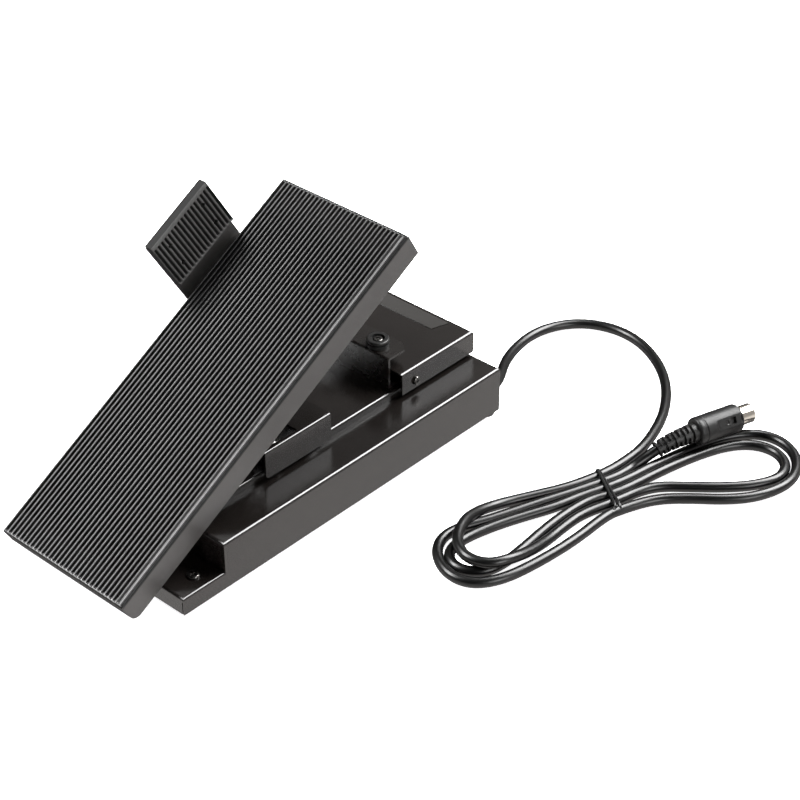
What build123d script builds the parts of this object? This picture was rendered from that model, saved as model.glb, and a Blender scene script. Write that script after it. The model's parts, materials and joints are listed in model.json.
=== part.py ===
"""Organ expression pedal with a sideways kick switch, a fixed cord and a DIN plug.

Millimetres. +Z is up, +Y points to the toe end and +X to the player's right. The origin is the
centre of the bottom plate's underside, and the rubber feet stand FOOT_HEIGHT below it.
"""

import math
import os

from build123d import *

# Base
BASE_WIDTH = 142.0
BASE_LENGTH = 290.0
SHEET = 1.2
FOOT_HEIGHT = 2.0
FLOOR_Z = -FOOT_HEIGHT
PANEL_X = 54.0
PANEL_Y = 125.0
PANEL_DROP = 0.5
TRAY_DEPTH = 34.5
TRAY_TOP = 12.1
HOUSING_TOP = 33.5
DECK_WIDTH = 83.4
DECK_TOP = 38.9
EDGE_BEND = 2.0
HALF_WIDTH = BASE_WIDTH / 2
FRONT_Y = -BASE_LENGTH / 2
REAR_Y = BASE_LENGTH / 2
HOUSING_FRONT_Y = FRONT_Y + TRAY_DEPTH
DECK_FRONT_Y = -98.0
DECK_REAR_Y = 143.0

FOOT_PLACES = [(-62.0, -136.0), (62.0, -136.0), (-64.0, 138.2), (64.0, 138.2)]
CHASSIS_PLACES = [(side * 63.5, y) for side in (-1, 1) for y in (-100.0, 118.0)]
TRAY_SCREWS = [(-58.4, -125.2), (58.4, -125.2)]

# Window through the housing top, the deck and the hinge bracket for the gear sector
WINDOW_X = (-32.0, -2.0)
WINDOW_Y = (-40.0, -2.0)

# Treadle: its own plane starts at the middle of the heel's top edge
TREADLE_ANGLE = 29.9
TREADLE_WIDTH = 109.2
TREADLE_LENGTH = 288.3
TREADLE_DEPTH = 18.9
HEEL_Y = -178.9
HEEL_Z = 17.6
MAT_THICKNESS = 2.2
PAN_SHEET = 1.5
PAN_UNDER = -MAT_THICKNESS - PAN_SHEET
GROOVE_PITCH = 3.42
GROOVE_COUNT = 32
GROOVE_WIDTH = 1.5
GROOVE_DEPTH = 1.2

# Pivot
PIVOT_Y = -35.0
PIVOT_Z = 49.0
TRAVEL = 27.0
SHAFT_R = 4.0
EAR_X = 33.0
EAR_SHEET = 2.0
HANGER_X = 30.0
HANGER_SHEET = 2.0

# Gears between the treadle and the potentiometer
MODULE = 1.0
SECTOR_TEETH = 44
PINION_TEETH = 12
PRESSURE_ANGLE = 25.0
BACKLASH = 0.16
CENTRE_SLACK = 0.1
MESH_ANGLE = -35.0
SECTOR_X = -28.0
SECTOR_THICKNESS = 3.0
PINION_X = -28.5
PINION_THICKNESS = 4.0

# Covers and stops
COVER_WIDTH = 94.0
COVER_SHEET = 1.5
PIVOT_COVER_TOP = 57.0
PIVOT_COVER_BOTTOM = 37.0
PIVOT_COVER_Y = (-51.0, 7.0)
PIVOT_COVER_OPENING_REAR = -20.0
BOX_TOP = 52.4
BOX_BOTTOM = 36.3
BOX_FRONT_Y = 74.0
STOP_FACE_Y = 71.0
STOP_WIDTH = 75.0
STOP_TOP = 62.0
STOP_REACH = 20.8
STOP_SHEET = 1.6
BUMPER_R = 6.8
BUMPER_HEIGHT = 8.0
BUMPER_DOME = 3.0
BUMPER_GROOVE = 0.9
BUMPER_GROOVE_Z = 2.6
TOE_BUMPER_R = 7.7
TOE_BUMPER_HEIGHT = 5.4
TOE_BUMPER_DOME = 1.0
WELL_R = 4.7
WELL_DEPTH = 1.9
RIVET_X = 29.0
RIVET_Z = 48.5
TOE_BUMPER_X = 20.4
TOE_BUMPER_Y = 79.4
HEEL_BUMPER_X = 25.0
HEEL_BUMPER_Y = -90.0
STOP_GAP = 0.3

# Kick pad, whose lower edge stands beside and above the treadle's left edge
KICK_LENGTH = 56.1
KICK_HEIGHT = 39.1
KICK_THICKNESS = 6.7
KICK_LEAN = 4.6
KICK_X = -62.6
KICK_START = 191.2
KICK_RISE = 3.2
KICK_TRAVEL = 6.0
KICK_SHEET = 2.0
KICK_RIBS = 16
KICK_HOLE_R = 1.6
KICK_HOLES = [(s, up) for s in (11.2, KICK_LENGTH - 11.2) for up in (10.7, KICK_HEIGHT - 10.7)]
LEG_UNDER = -23.0
PIN_X = -30.0
PIN_DEPTH = -12.0
PIN_R = 2.0
SWITCH_X = -15.0
SWITCH_START = 209.0

# Potentiometer
POT_BODY_R = 8.0
POT_BODY_X = (-15.5, -5.0)
POT_BRACKET_X = (-17.0, -15.5)
POT_SHAFT_R = 2.5
RUNNING_GAP = 0.05

# Terminal board
SPACER_HEIGHT = 4.0

# Cord and plug. The free cord is drawn by the corners of its route, each rounded by its own radius.
CORD_D = 7.0
CORD_R = CORD_D / 2
CORD_Z = FLOOR_Z + CORD_R
EXIT_X = 60.0
EXIT_Z = 8.0
HANK_Z = (FLOOR_Z, 5.1)
HANK_WALL_Y = 131.1
LEAD_CORNERS = [
    (EXIT_X, 122, EXIT_Z),
    (EXIT_X, 157, EXIT_Z),
    (34, 196, CORD_Z),
    (28, 238, CORD_Z),
    (47, 270, CORD_Z),
    (84, 279, CORD_Z),
    (126, 258, CORD_Z),
    (156, 221, CORD_Z),
    (171, 178, CORD_Z),
    (171, HANK_WALL_Y, CORD_Z),
]
EXIT_BEND = 26.0
TAIL_CORNERS = [(178.3, HANK_WALL_Y, CORD_Z), (178.3, 150.5, CORD_Z), (185.3, 168.6, 9.4)]
PLUG_BODY_START = (195.8, 195.0, 14.7)
PLUG_AIM = (0.308, 0.951, 0.0)
PLUG_BODY_LENGTH = 34.5
PLUG_BODY_R = 9.5
RELIEF_START_R = 5.2
RELIEF_END_R = 6.6
SHELL_R = 6.6
SHELL_LENGTH = 10.5
NECK_R = 5.9
NECK_LENGTH = 6.0

os.makedirs("parts", exist_ok=True)

treadle = Plane(
    origin=(0, HEEL_Y, HEEL_Z),
    x_dir=(1, 0, 0),
    z_dir=(0, -math.sin(math.radians(TREADLE_ANGLE)), math.cos(math.radians(TREADLE_ANGLE))),
)


def along_treadle(x, s, m):
    """Row-frame point at x across, s along and m above the treadle's top."""
    return treadle.from_local_coords((x, s, m))


def treadle_side(x):
    """Plane that looks along +X at the treadle, with its axes along and above the treadle's top."""
    return Plane(origin=along_treadle(x, 0, 0), x_dir=treadle.y_dir, z_dir=(1, 0, 0))


def side_plane(x, y=0.0, z=0.0):
    """Plane that looks along +X, with its axes along +Y and +Z."""
    return Plane(origin=(x, y, z), x_dir=(0, 1, 0), z_dir=(1, 0, 0))


def slab(x, y, z, plane=Plane.XY):
    """Block between two corners given as ranges along the plane's axes."""
    with BuildSketch(plane.offset(z[0])) as face:
        with Locations(((x[0] + x[1]) / 2, (y[0] + y[1]) / 2)):
            Rectangle(x[1] - x[0], y[1] - y[0])
    return extrude(face.sketch, z[1] - z[0], dir=plane.z_dir, mode=Mode.PRIVATE)


def rod(plane, radius, length, at=(0, 0)):
    """Cylinder that rises from a plane."""
    with BuildSketch(plane) as face:
        with Locations(at):
            Circle(radius)
    return extrude(face.sketch, length, dir=plane.z_dir, mode=Mode.PRIVATE)


def save(builder, name):
    """Labels a finished piece and writes its STEP."""
    builder.part.label = name
    export_step(builder.part, f"parts/{name}.step")


# ---------------------------------------------------------------- base shells

with BuildPart() as bottom_plate:
    add(slab((-69.6, 69.6), (-143.6, 143.6), (0, SHEET)))
    # The middle is pressed down, so that the base can also stand on a flat board without its feet
    add(slab((-PANEL_X, PANEL_X), (-PANEL_Y, PANEL_Y), (-PANEL_DROP, 0)))
    hollow_x = PANEL_X - SHEET
    hollow_y = PANEL_Y - SHEET
    hollow = slab((-hollow_x, hollow_x), (-hollow_y, hollow_y), (SHEET - PANEL_DROP, SHEET))
    add(hollow, mode=Mode.SUBTRACT)
    with Locations(CHASSIS_PLACES):
        Hole(1.3)
save(bottom_plate, "bottom_plate")

with BuildPart() as front_tray:
    add(slab((-HALF_WIDTH, HALF_WIDTH), (FRONT_Y, HOUSING_FRONT_Y), (0, TRAY_TOP)))
    tray_edges = front_tray.faces().sort_by(Axis.Z)[-1].edges()
    fillet(tray_edges.sort_by(Axis.Y)[:3], EDGE_BEND - 0.4)
    inner_x = HALF_WIDTH - SHEET
    add(
        slab((-inner_x, inner_x), (FRONT_Y + SHEET, HOUSING_FRONT_Y), (0, TRAY_TOP - SHEET)),
        mode=Mode.SUBTRACT,
    )
    add(slab((-69.6, 69.6), (HOUSING_FRONT_Y, HOUSING_FRONT_Y + 6), (TRAY_TOP - SHEET, TRAY_TOP)))
    for side in (-1, 1):
        slit_x = sorted((side * 69.5, side * 70.3))
        add(slab(slit_x, (FRONT_Y - 1, FRONT_Y + SHEET), (-1, 9.6)), mode=Mode.SUBTRACT)
    with Locations(TRAY_SCREWS):
        Hole(2.0)
save(front_tray, "front_tray")

with BuildPart() as main_housing:
    add(slab((-HALF_WIDTH, HALF_WIDTH), (HOUSING_FRONT_Y, REAR_Y), (0, HOUSING_TOP)))
    fillet(main_housing.faces().sort_by(Axis.Z)[-1].edges(), EDGE_BEND)
    inner_y = (HOUSING_FRONT_Y + SHEET, REAR_Y - SHEET)
    add(slab((-inner_x, inner_x), inner_y, (0, HOUSING_TOP - SHEET)), mode=Mode.SUBTRACT)
    front_gap = (HOUSING_FRONT_Y - 1, HOUSING_FRONT_Y + SHEET)
    add(slab((-inner_x, inner_x), front_gap, (0, TRAY_TOP)), mode=Mode.SUBTRACT)
    add(slab(WINDOW_X, WINDOW_Y, (30, 40)), mode=Mode.SUBTRACT)
    add(rod(Plane.XZ.offset(-REAR_Y - 1), 5.0, 4, (EXIT_X, EXIT_Z)), mode=Mode.SUBTRACT)
    for corner_x in (-1, 1):
        for tab_y in (-100.0, 118.0):
            tab_x = sorted((corner_x * 57.5, corner_x * (inner_x + 0.2)))
            add(slab(tab_x, (tab_y - 6, tab_y + 6), (SHEET, 2 * SHEET)))
            add(rod(Plane.XY, 1.3, 4, (corner_x * 63.5, tab_y)), mode=Mode.SUBTRACT)
save(main_housing, "main_housing")

with BuildPart() as center_deck:
    deck_x = DECK_WIDTH / 2
    add(slab((-deck_x, deck_x), (DECK_FRONT_Y, DECK_REAR_Y), (HOUSING_TOP, DECK_TOP)))
    fillet(center_deck.faces().sort_by(Axis.Z)[-1].edges(), 1.6)
    add(
        slab(
            (-deck_x + SHEET, deck_x - SHEET),
            (DECK_FRONT_Y + SHEET, DECK_REAR_Y - SHEET),
            (HOUSING_TOP, DECK_TOP - SHEET),
        ),
        mode=Mode.SUBTRACT,
    )
    add(slab(WINDOW_X, WINDOW_Y, (36, 40)), mode=Mode.SUBTRACT)
save(center_deck, "center_deck")

with BuildPart() as pivot_cover:
    cover_x = COVER_WIDTH / 2
    add(slab((-cover_x, cover_x), PIVOT_COVER_Y, (PIVOT_COVER_BOTTOM, PIVOT_COVER_TOP)))
    top_edges = pivot_cover.faces().sort_by(Axis.Z)[-1].edges().filter_by(Axis.Y)
    fillet(top_edges, EDGE_BEND)
    fillet(pivot_cover.edges().filter_by(Axis.X).group_by(Axis.Z)[0].sort_by(Axis.Y)[:1], 3)
    under_x = cover_x - COVER_SHEET
    add(
        slab((-under_x, under_x), (-60, 10), (PIVOT_COVER_BOTTOM - 1, PIVOT_COVER_TOP - COVER_SHEET)),
        mode=Mode.SUBTRACT,
    )
    lip_x = cover_x - 3.2
    add(
        slab((-lip_x, lip_x), (-60, PIVOT_COVER_OPENING_REAR), (50, 60)),
        mode=Mode.SUBTRACT,
    )
save(pivot_cover, "pivot_cover")

with BuildPart() as rear_box:
    add(slab((-cover_x, cover_x), (BOX_FRONT_Y, REAR_Y), (BOX_BOTTOM, BOX_TOP)))
    box_top_edges = rear_box.faces().sort_by(Axis.Z)[-1].edges()
    fillet(box_top_edges.sort_by(Axis.Y)[1:], EDGE_BEND)
    add(
        slab(
            (-cover_x + SHEET, cover_x - SHEET),
            (BOX_FRONT_Y - 1, REAR_Y - SHEET),
            (BOX_BOTTOM - 1, BOX_TOP - SHEET),
        ),
        mode=Mode.SUBTRACT,
    )
    add(rod(Plane.YZ.offset(-60), 2.1, 120, (87.2, 42.0)), mode=Mode.SUBTRACT)
save(rear_box, "rear_box")

with BuildPart() as badge_plate:
    with BuildSketch(Plane.XY.offset(BOX_TOP)):
        with BuildLine():
            Polyline((-28, 128), (24, 128), (28, 141), (-28, 141), close=True)
        make_face()
    extrude(amount=0.4)
save(badge_plate, "badge_plate")

with BuildPart() as toe_stop_bracket:
    half_stop = STOP_WIDTH / 2
    face_y = (STOP_FACE_Y, STOP_FACE_Y + STOP_SHEET)
    add(slab((-half_stop, half_stop), face_y, (DECK_TOP, STOP_TOP)))
    with BuildSketch(Plane.XY.offset(STOP_TOP - STOP_SHEET)):
        with BuildLine():
            rear = STOP_FACE_Y + STOP_REACH
            Polyline(
                (-half_stop, STOP_FACE_Y),
                (half_stop, STOP_FACE_Y),
                (half_stop, rear - 5.3),
                (half_stop - 6.6, rear),
                (-half_stop + 6.6, rear),
                (-half_stop, rear - 5.3),
                close=True,
            )
        make_face()
    extrude(amount=STOP_SHEET)
    foot_y = (STOP_FACE_Y, STOP_FACE_Y + 14)
    add(slab((-half_stop, half_stop), foot_y, (DECK_TOP, DECK_TOP + STOP_SHEET)))
    fillet(toe_stop_bracket.edges().filter_by(Axis.X).group_by(Axis.Y)[0].sort_by(Axis.Z)[-1:], 1.4)
    for side in (-1, 1):
        add(
            rod(Plane.XY.offset(STOP_TOP - 3), 2.0, 6, (side * TOE_BUMPER_X, TOE_BUMPER_Y)),
            mode=Mode.SUBTRACT,
        )
        rivet = Plane(origin=(side * RIVET_X, STOP_FACE_Y, RIVET_Z), x_dir=(1, 0, 0), z_dir=(0, -1, 0))
        add(rod(rivet, 1.5, 0.6))
save(toe_stop_bracket, "toe_stop_bracket")

# ---------------------------------------------------------------- pivot

with BuildPart() as hinge_bracket:
    add(slab((-EAR_X - EAR_SHEET, EAR_X + EAR_SHEET), (-50, 6), (DECK_TOP, DECK_TOP + 2)))
    add(slab(WINDOW_X, WINDOW_Y, (36, 42)), mode=Mode.SUBTRACT)
    for side in (-1, 1):
        near = side * EAR_X if side > 0 else -EAR_X - EAR_SHEET
        with BuildSketch(side_plane(near)):
            with BuildLine():
                Polyline(
                    (-50, DECK_TOP),
                    (-50, 47),
                    (-43, 55.5),
                    (6, 55.5),
                    (6, DECK_TOP),
                    close=True,
                )
            make_face()
            with Locations((PIVOT_Y, PIVOT_Z)):
                Circle(5.0, mode=Mode.SUBTRACT)
        extrude(amount=EAR_SHEET)
        tab = sorted((side * EAR_X, side * 44.0))
        add(slab(tab, (-19, 6), (53.9, 55.5)))
save(hinge_bracket, "hinge_bracket")

with BuildPart() as pivot_shaft:
    add(rod(side_plane(-39.5, PIVOT_Y, PIVOT_Z), SHAFT_R, 79))
    for side in (-1, 1):
        groove_x = sorted((side * 37.2, side * 38.2))
        with BuildSketch(side_plane(groove_x[0], PIVOT_Y, PIVOT_Z)):
            Circle(SHAFT_R + 1)
            Circle(SHAFT_R - 0.6, mode=Mode.SUBTRACT)
        extrude(amount=1.0, mode=Mode.SUBTRACT)
save(pivot_shaft, "pivot_shaft")

with BuildPart() as pivot_bushes:
    for side in (-1, 1):
        bore_x = EAR_X if side > 0 else -EAR_X - EAR_SHEET - 1.2
        with BuildSketch(side_plane(bore_x, PIVOT_Y, PIVOT_Z)):
            Circle(5.0)
            Circle(SHAFT_R, mode=Mode.SUBTRACT)
        extrude(amount=EAR_SHEET + 1.2)
        flange_x = EAR_X + EAR_SHEET if side > 0 else -EAR_X - EAR_SHEET - 1.2
        with BuildSketch(side_plane(flange_x, PIVOT_Y, PIVOT_Z)):
            Circle(6.2)
            Circle(SHAFT_R, mode=Mode.SUBTRACT)
        extrude(amount=1.2)
save(pivot_bushes, "pivot_bushes")

with BuildPart() as retaining_clips:
    for side in (-1, 1):
        clip_x = 37.25 if side > 0 else -38.15
        with BuildSketch(side_plane(clip_x, PIVOT_Y, PIVOT_Z)):
            Circle(5.8)
            Circle(SHAFT_R - 0.6, mode=Mode.SUBTRACT)
            with Locations((0, -4)):
                Rectangle(4, 5, mode=Mode.SUBTRACT)
        extrude(amount=0.9)
save(retaining_clips, "retaining_clips")

with BuildPart() as friction_washers:
    for side in (-1, 1):
        washer_x = HANGER_X + 0.15 if side > 0 else -EAR_X + 0.15
        with BuildSketch(side_plane(washer_x, PIVOT_Y, PIVOT_Z)):
            Circle(6.5)
            Circle(SHAFT_R, mode=Mode.SUBTRACT)
        extrude(amount=EAR_X - HANGER_X - 0.3)
save(friction_washers, "friction_washers")

# ---------------------------------------------------------------- fasteners, feet and bumpers

def cross_recess(plane, width, depth):
    """Cross-shaped cut for a screwdriver, sunk from a plane."""
    with BuildSketch(plane) as cross:
        Rectangle(width, width * 0.22)
        Rectangle(width * 0.22, width)
    return extrude(cross.sketch, depth, dir=-plane.z_dir, mode=Mode.PRIVATE)


def pan_screw(plane, head_r, head_height, thread_r, length):
    """Pan-head screw whose head stands on a plane and whose thread goes down from it."""
    with BuildPart() as screw:
        add(rod(plane, head_r, head_height))
        fillet(screw.faces().sort_by(Axis(plane.origin, plane.z_dir))[-1].edges(), head_height * 0.6)
        add(rod(plane.offset(-length), thread_r, length))
        add(cross_recess(plane.offset(head_height), head_r * 1.15, head_height * 0.6), mode=Mode.SUBTRACT)
    return screw.part


with BuildPart() as rubber_feet:
    with BuildSketch(Plane.XY.offset(FLOOR_Z)):
        with Locations(FOOT_PLACES):
            Circle(6.5)
    extrude(amount=FOOT_HEIGHT)
save(rubber_feet, "rubber_feet")

with BuildPart() as chassis_screws:
    for screw_x, screw_y in CHASSIS_PLACES:
        spot = Plane(origin=(screw_x, screw_y, 0), x_dir=(1, 0, 0), z_dir=(0, 0, -1))
        add(pan_screw(spot, 2.6, 1.3, 1.3, 3.6))
save(chassis_screws, "chassis_screws")

with BuildPart() as tray_posts:
    with BuildSketch(Plane.XY.offset(SHEET)):
        with Locations(TRAY_SCREWS):
            Circle(3.6)
            Circle(2.0, mode=Mode.SUBTRACT)
    extrude(amount=TRAY_TOP - 2 * SHEET)
save(tray_posts, "tray_posts")

with BuildPart() as tray_screws:
    for screw_x, screw_y in TRAY_SCREWS:
        spot = Plane(origin=(screw_x, screw_y, TRAY_TOP))
        add(pan_screw(spot, 4.4, 1.8, 2.0, 9.0))
save(tray_screws, "tray_screws")

with BuildPart() as rear_box_screws:
    for side in (-1, 1):
        spot = Plane(origin=(side * cover_x, 87.2, 42.0), x_dir=(0, 1, 0), z_dir=(side, 0, 0))
        add(pan_screw(spot, 3.1, 1.8, 2.1, 3.0))
save(rear_box_screws, "rear_box_screws")


def bumper(x, y, z, radius, height, dome, hole):
    """Rubber stop with a domed cap over a grooved foot and, where screwed down, a hole and a well."""
    with BuildPart() as stop:
        add(rod(Plane.XY.offset(z), radius, height, (x, y)))
        fillet(stop.faces().sort_by(Axis.Z)[-1].edges(), dome)
        with BuildSketch(Plane.XY.offset(z + BUMPER_GROOVE_Z)):
            with Locations((x, y)):
                Circle(radius + 1)
                Circle(radius - BUMPER_GROOVE, mode=Mode.SUBTRACT)
        extrude(amount=BUMPER_GROOVE, mode=Mode.SUBTRACT)
        if hole:
            add(rod(Plane.XY.offset(z), 2.0, height, (x, y)), mode=Mode.SUBTRACT)
            well = rod(Plane.XY.offset(z + height - WELL_DEPTH), WELL_R, 3, (x, y))
            add(well, mode=Mode.SUBTRACT)
    return stop.part


with BuildPart() as toe_bumpers:
    for side in (-1, 1):
        sizes = (TOE_BUMPER_R, TOE_BUMPER_HEIGHT, TOE_BUMPER_DOME)
        add(bumper(side * TOE_BUMPER_X, TOE_BUMPER_Y, STOP_TOP, *sizes, True))
save(toe_bumpers, "toe_bumpers")

with BuildPart() as bumper_screws:
    for side in (-1, 1):
        well_z = STOP_TOP + TOE_BUMPER_HEIGHT - WELL_DEPTH
        spot = Plane(origin=(side * TOE_BUMPER_X, TOE_BUMPER_Y, well_z))
        add(pan_screw(spot, 3.5, 1.5, 2.0, 7.0))
save(bumper_screws, "bumper_screws")

with BuildPart() as heel_bumpers:
    for side in (-1, 1):
        sizes = (BUMPER_R, BUMPER_HEIGHT, BUMPER_DOME)
        add(bumper(side * HEEL_BUMPER_X, HEEL_BUMPER_Y, DECK_TOP, *sizes, False))
save(heel_bumpers, "heel_bumpers")

# ---------------------------------------------------------------- treadle

with BuildPart() as treadle_pan:
    half_pan = TREADLE_WIDTH / 2
    pan_m = (-TREADLE_DEPTH, -MAT_THICKNESS)
    add(slab((-half_pan, half_pan), (0, TREADLE_LENGTH), pan_m, treadle))
    heel_low = treadle_pan.edges().filter_by(Axis.X).sort_by(Axis.Z)[0]
    fillet(heel_low, 6.0)
    inside_s = (PAN_SHEET, TREADLE_LENGTH - PAN_SHEET)
    inside_x = half_pan - PAN_SHEET
    add(
        slab((-inside_x, inside_x), inside_s, (-TREADLE_DEPTH - 1, PAN_UNDER), treadle),
        mode=Mode.SUBTRACT,
    )
save(treadle_pan, "treadle_pan")

with BuildPart() as treadle_mat:
    add(slab((-half_pan, half_pan), (0, TREADLE_LENGTH), (-MAT_THICKNESS, 0), treadle))
    for groove in range(GROOVE_COUNT):
        middle = half_pan - 1.0 - groove * GROOVE_PITCH
        groove_x = (middle - GROOVE_WIDTH / 2, middle + GROOVE_WIDTH / 2)
        groove_x = (max(groove_x[0], -half_pan), min(groove_x[1], half_pan - 0.3))
        add(
            slab(groove_x, (3.0, TREADLE_LENGTH + 1), (-GROOVE_DEPTH, 1), treadle),
            mode=Mode.SUBTRACT,
        )
save(treadle_mat, "treadle_mat")

PIVOT_S = (PIVOT_Y - HEEL_Y) * treadle.y_dir.Y + (PIVOT_Z - HEEL_Z) * treadle.y_dir.Z
PIVOT_M = (PIVOT_Y - HEEL_Y) * treadle.z_dir.Y + (PIVOT_Z - HEEL_Z) * treadle.z_dir.Z

with BuildPart() as treadle_hanger:
    web_m = (PAN_UNDER - 2, PAN_UNDER)
    add(slab((-HANGER_X, HANGER_X), (PIVOT_S - 20, PIVOT_S + 20), web_m, treadle))
    for side in (-1, 1):
        arm_x = HANGER_X - HANGER_SHEET if side > 0 else -HANGER_X
        with BuildSketch(treadle_side(arm_x)):
            with BuildLine():
                Polyline(
                    (PIVOT_S - 18, PAN_UNDER),
                    (PIVOT_S + 18, PAN_UNDER),
                    (PIVOT_S + 7.5, PIVOT_M),
                    (PIVOT_S - 7.5, PIVOT_M),
                    close=True,
                )
            make_face()
            with Locations((PIVOT_S, PIVOT_M)):
                Circle(7.5)
                Circle(SHAFT_R + RUNNING_GAP, mode=Mode.SUBTRACT)
        extrude(amount=HANGER_SHEET)
save(treadle_hanger, "treadle_hanger")


def stop_channel(half_width, s_range, under, sheet):
    """Channel under the treadle whose flat web meets a pair of rubber stops."""
    with BuildPart() as channel:
        add(slab((-half_width, half_width), s_range, (under, under + sheet), treadle))
        for side in (-1, 1):
            leg = sorted((side * half_width, side * (half_width - sheet)))
            add(slab(leg, s_range, (under, PAN_UNDER), treadle))
            lip = sorted((side * half_width, side * (half_width + 7)))
            add(slab(lip, s_range, (PAN_UNDER - sheet, PAN_UNDER), treadle))
    return channel.part


HEEL_STOP_UNDER = -16.62 + STOP_GAP
TOE_STOP_UNDER = -31.57 + STOP_GAP

with BuildPart() as heel_stop_channel:
    add(stop_channel(34.0, (80, 96), HEEL_STOP_UNDER, 1.5))
save(heel_stop_channel, "heel_stop_channel")

with BuildPart() as toe_stop_channel:
    add(stop_channel(28.0, (247.5, 265.5), TOE_STOP_UNDER, 1.5))
save(toe_stop_channel, "toe_stop_channel")

# ---------------------------------------------------------------- gears and potentiometer


def tooth(teeth, outward):
    """One involute tooth as (radius, angle) corners either side of its middle line."""
    pitch_r = MODULE * teeth / 2
    base_r = pitch_r * math.cos(math.radians(PRESSURE_ANGLE))
    tip_r = pitch_r + outward * MODULE
    root_r = pitch_r - 1.25 * MODULE
    half_pitch = math.pi / (2 * teeth) - BACKLASH / (4 * pitch_r)
    involute_at_pitch = math.tan(math.radians(PRESSURE_ANGLE)) - math.radians(PRESSURE_ANGLE)
    flank = []
    start_r = max(base_r, root_r)
    for step in range(6):
        radius = start_r + (tip_r - start_r) * step / 5
        pressure = math.acos(min(1.0, base_r / radius))
        flank.append((radius, half_pitch + involute_at_pitch - (math.tan(pressure) - pressure)))
    if root_r < base_r:
        flank.insert(0, (root_r, flank[0][1]))
    return flank


def gear_outline(teeth, first, count, phase, outward):
    """Closed outline of count teeth, starting with the tooth numbered first."""
    flank = tooth(teeth, outward)
    corners = []
    for number in range(first, first + count):
        middle = phase + 2 * math.pi * number / teeth
        for radius, angle in flank:
            corners.append((radius * math.cos(middle - angle), radius * math.sin(middle - angle)))
        for radius, angle in reversed(flank):
            corners.append((radius * math.cos(middle + angle), radius * math.sin(middle + angle)))
    return corners


MESH = math.radians(MESH_ANGLE)
CENTRE_DISTANCE = MODULE * (SECTOR_TEETH + PINION_TEETH) / 2 + CENTRE_SLACK / 2
POT_Y = PIVOT_Y + CENTRE_DISTANCE * math.cos(MESH)
POT_Z = PIVOT_Z + CENTRE_DISTANCE * math.sin(MESH)
# A tooth of the sector lies on the line of centres and meets a space of the pinion
SECTOR_PHASE = MESH
PINION_PHASE = MESH + math.pi + math.pi / PINION_TEETH

with BuildPart() as drive_sector:
    with BuildSketch(side_plane(SECTOR_X, PIVOT_Y, PIVOT_Z)):
        with BuildLine():
            sector_teeth = gear_outline(SECTOR_TEETH, -1, 6, SECTOR_PHASE, 0.9)
            Polyline((0, 0), *sector_teeth, close=True)
        make_face()
        Circle(9.0)
        Circle(SHAFT_R + RUNNING_GAP, mode=Mode.SUBTRACT)
    extrude(amount=SECTOR_THICKNESS)
save(drive_sector, "drive_sector")

with BuildPart() as drive_pinion:
    with BuildSketch(side_plane(PINION_X, POT_Y, POT_Z)):
        with BuildLine():
            Polyline(*gear_outline(PINION_TEETH, 0, PINION_TEETH, PINION_PHASE, 0.9), close=True)
        make_face()
        Circle(POT_SHAFT_R, mode=Mode.SUBTRACT)
    extrude(amount=PINION_THICKNESS)
save(drive_pinion, "drive_pinion")

with BuildPart() as pot_shaft:
    add(rod(side_plane(PINION_X, POT_Y, POT_Z), POT_SHAFT_R, 17.5))
save(pot_shaft, "pot_shaft")

with BuildPart() as pot_body:
    add(rod(side_plane(POT_BODY_X[0], POT_Y, POT_Z), POT_BODY_R, POT_BODY_X[1] - POT_BODY_X[0]))
    fillet(pot_body.faces().sort_by(Axis.X)[-1].edges(), 1.0)
    add(rod(side_plane(-21.5, POT_Y, POT_Z), 3.5, 6.0))
    add(slab((-13.5, -12.5), (POT_Y - 6, POT_Y + 6), (POT_Z - 14, POT_Z - 6)))
    shaft_room = rod(side_plane(-22.0, POT_Y, POT_Z), POT_SHAFT_R + RUNNING_GAP, 12.0)
    add(shaft_room, mode=Mode.SUBTRACT)
save(pot_body, "pot_body")

with BuildPart() as pot_bracket:
    add(slab(POT_BRACKET_X, (POT_Y - 10, -2.5), (POT_Z - 9, DECK_TOP + 3.5)))
    add(slab(POT_BRACKET_X, (-3, 5), (DECK_TOP + 2, DECK_TOP + 3.5)))
    add(slab((POT_BRACKET_X[0], 6), (-1, 5), (DECK_TOP + 2, DECK_TOP + 3.5)))
    add(rod(side_plane(-20, POT_Y, POT_Z), 3.5, 6), mode=Mode.SUBTRACT)
save(pot_bracket, "pot_bracket")

with BuildPart() as pot_nut:
    with BuildSketch(side_plane(-19.2, POT_Y, POT_Z)):
        RegularPolygon(5.8, 6)
        Circle(3.5, mode=Mode.SUBTRACT)
    extrude(amount=2.2)
save(pot_nut, "pot_nut")

# ---------------------------------------------------------------- kick switch

lean = math.radians(KICK_LEAN)
kick_face = Plane(
    origin=along_treadle(KICK_X, KICK_START, KICK_RISE),
    x_dir=treadle.y_dir,
    z_dir=treadle.x_dir * math.cos(lean) + treadle.z_dir * math.sin(lean),
)

with BuildPart() as kick_pad:
    add(slab((0, KICK_LENGTH), (0, KICK_HEIGHT), (-KICK_THICKNESS, 0), kick_face))
    for groove in range(KICK_RIBS + 1):
        middle = 1.6 + groove * (KICK_LENGTH - 3.2) / KICK_RIBS
        add(
            slab((middle - 0.6, middle + 0.6), (1.5, KICK_HEIGHT - 2.0), (-1.0, 1), kick_face),
            mode=Mode.SUBTRACT,
        )
    for place in KICK_HOLES:
        hole = rod(kick_face.offset(-KICK_THICKNESS - 1), KICK_HOLE_R, 10, place)
        add(hole, mode=Mode.SUBTRACT)
save(kick_pad, "kick_pad")

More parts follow.
